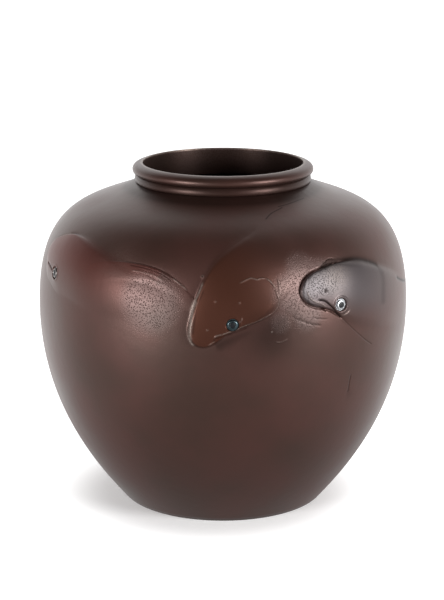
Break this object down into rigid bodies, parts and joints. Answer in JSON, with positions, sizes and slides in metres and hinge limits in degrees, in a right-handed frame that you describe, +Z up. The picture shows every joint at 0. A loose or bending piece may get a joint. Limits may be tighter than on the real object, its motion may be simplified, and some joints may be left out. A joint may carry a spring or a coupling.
{
  "type": "bronze vase",
  "caption": "Round hollow bronze vase with a low rolled lip, a flat foot and fish in low relief swimming round its shoulder.",
  "frame": {"origin": "centre of the foot, on the plane that the vase stands on", "axes": "+Z up along the turning axis; -Y is the front, where the middle fish's head is; +X is to the right of the front"},
  "size_m": [0.25, 0.2522, 0.23],
  "materials": {
    "cast_bronze": "satin dark red-brown patina, finely pitted, with red, olive-brown and grey-black fish",
    "turned_bronze": "satin dark brown patina with faint turning marks",
    "eye_silver": "polished pale silver-coloured inlay",
    "eye_black": "glossy black patinated peg"
  },
  "bodies": {
    "root": {"vase_body": "cast_bronze", "mouth_ring": "turned_bronze", "base_plate": "turned_bronze", "left_eye_ring": "eye_silver", "left_pupil": "eye_black", "middle_eye_ring": "eye_silver", "middle_pupil": "eye_black", "right_eye_ring": "eye_silver", "right_pupil": "eye_black"}
  },
  "joints": []
}
